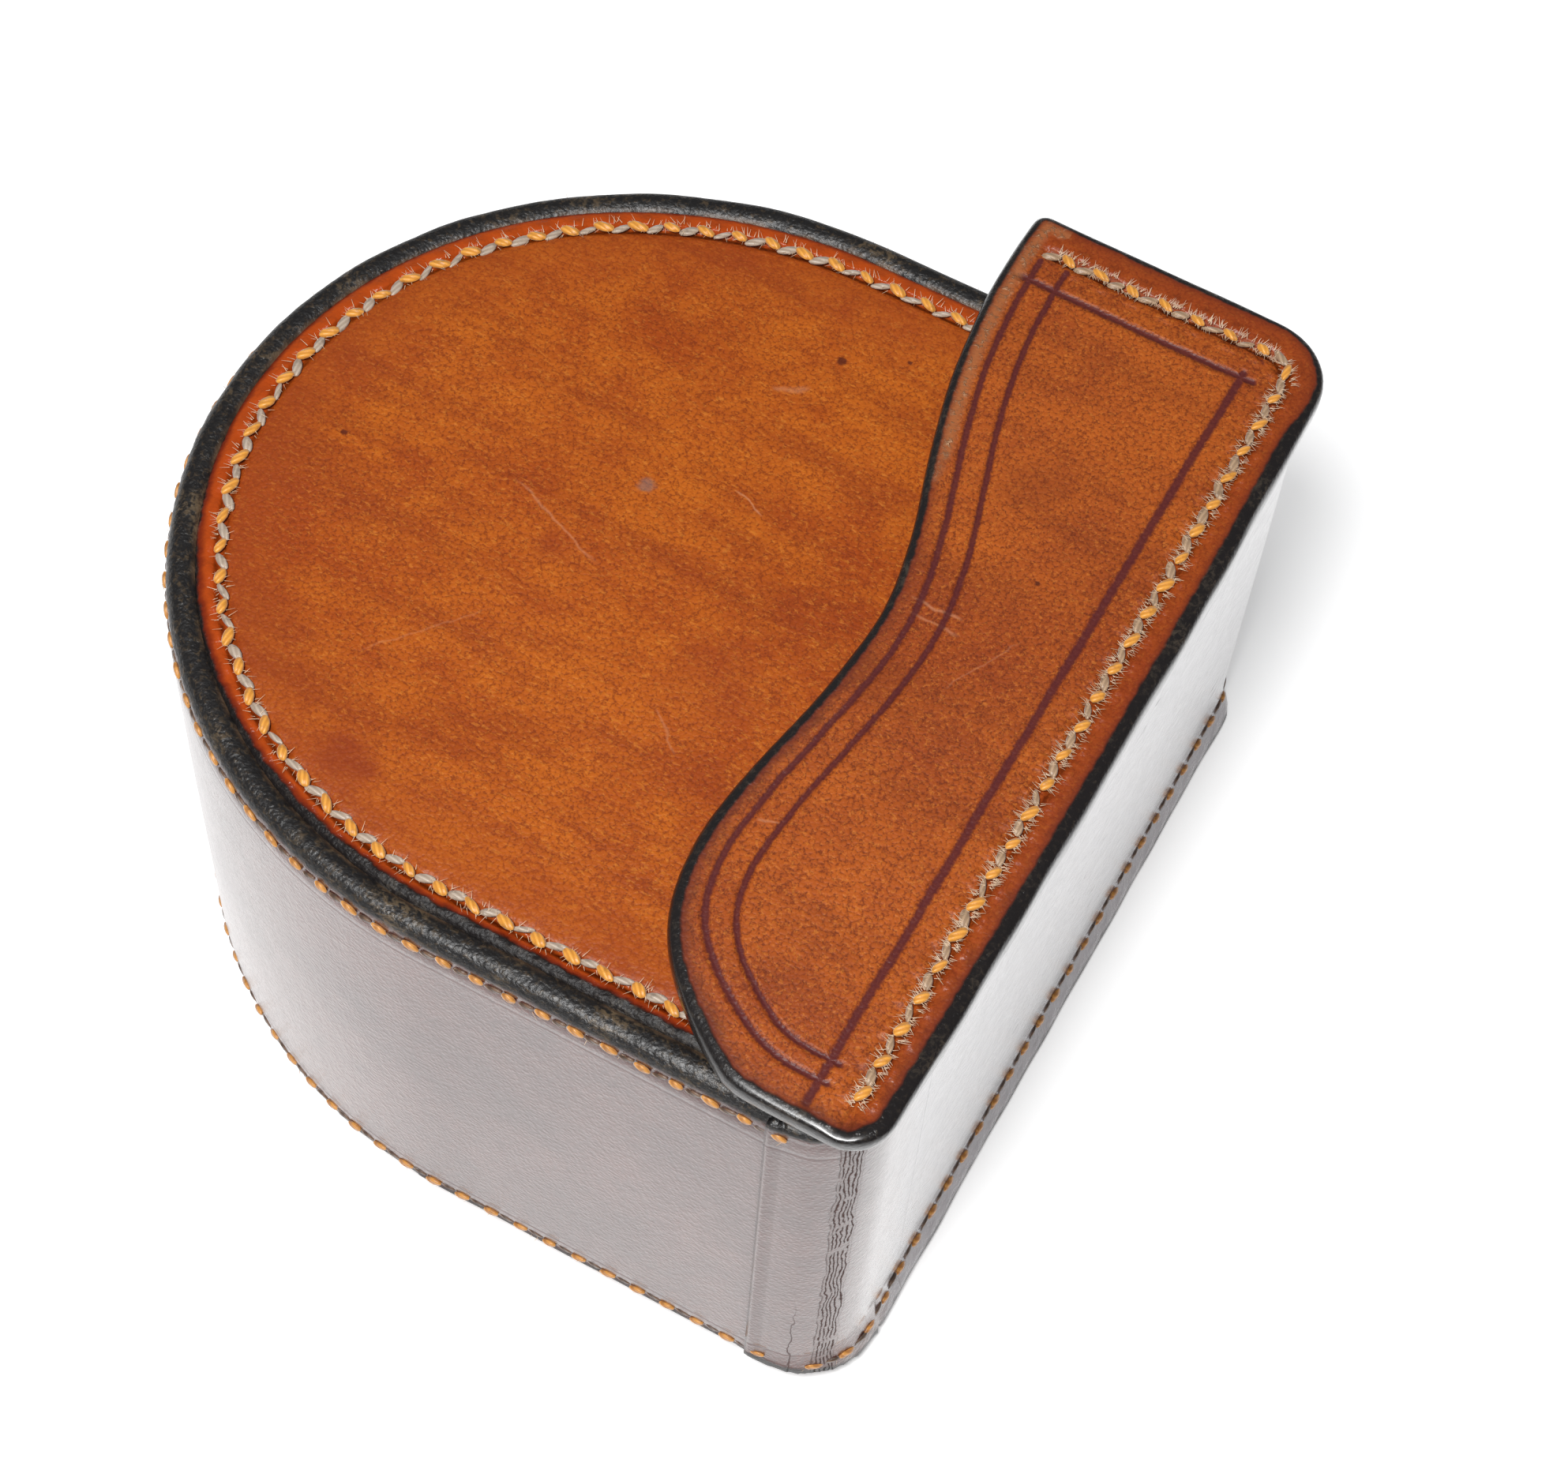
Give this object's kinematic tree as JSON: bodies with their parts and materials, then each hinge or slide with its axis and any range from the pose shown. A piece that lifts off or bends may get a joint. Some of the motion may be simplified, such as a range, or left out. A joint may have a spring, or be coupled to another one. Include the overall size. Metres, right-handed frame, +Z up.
{
  "type": "leather cup with hinged cap",
  "caption": "D-shaped block leather cup lying on a flat face, with a shaped leather cap hinged over its mouth.",
  "frame": {"origin": "centre of the bounding box's base", "axes": "+X towards the capped mouth, +Y away from the hinge side, +Z up through the two flat faces"},
  "size_m": [0.1044, 0.1094, 0.0703],
  "materials": {
    "tan_leather": "waxed vegetable-tanned hide, satin",
    "cheek_leather": "waxed vegetable-tanned hide, creased, black burnished edge",
    "wall_leather": "polished dark brown hide",
    "suede": "undyed flesh side",
    "thread": "waxed linen"
  },
  "bodies": {
    "cup": {"body_wall": "wall_leather", "body_top_face": "tan_leather", "body_bottom_face": "tan_leather", "body_wall_lining": "suede", "body_top_lining": "suede", "body_bottom_lining": "suede", "body_top_stitching": "thread", "body_bottom_stitching": "thread", "hinge_leather": "wall_leather"},
    "cap": {"lid_wall": "wall_leather", "lid_liner": "suede", "lid_top_cheek": "cheek_leather", "lid_bottom_cheek": "cheek_leather", "lid_top_stitching": "thread", "lid_bottom_stitching": "thread"}
  },
  "joints": [
    {"name": "cap_hinge", "type": "hinge", "parent": "cup", "child": "cap", "pos_m": [0.04688, -0.05143, 0.03515], "axis": [0, 0, -1], "range_deg": [0, 105], "deforming": ["hinge_leather"]}
  ]
}
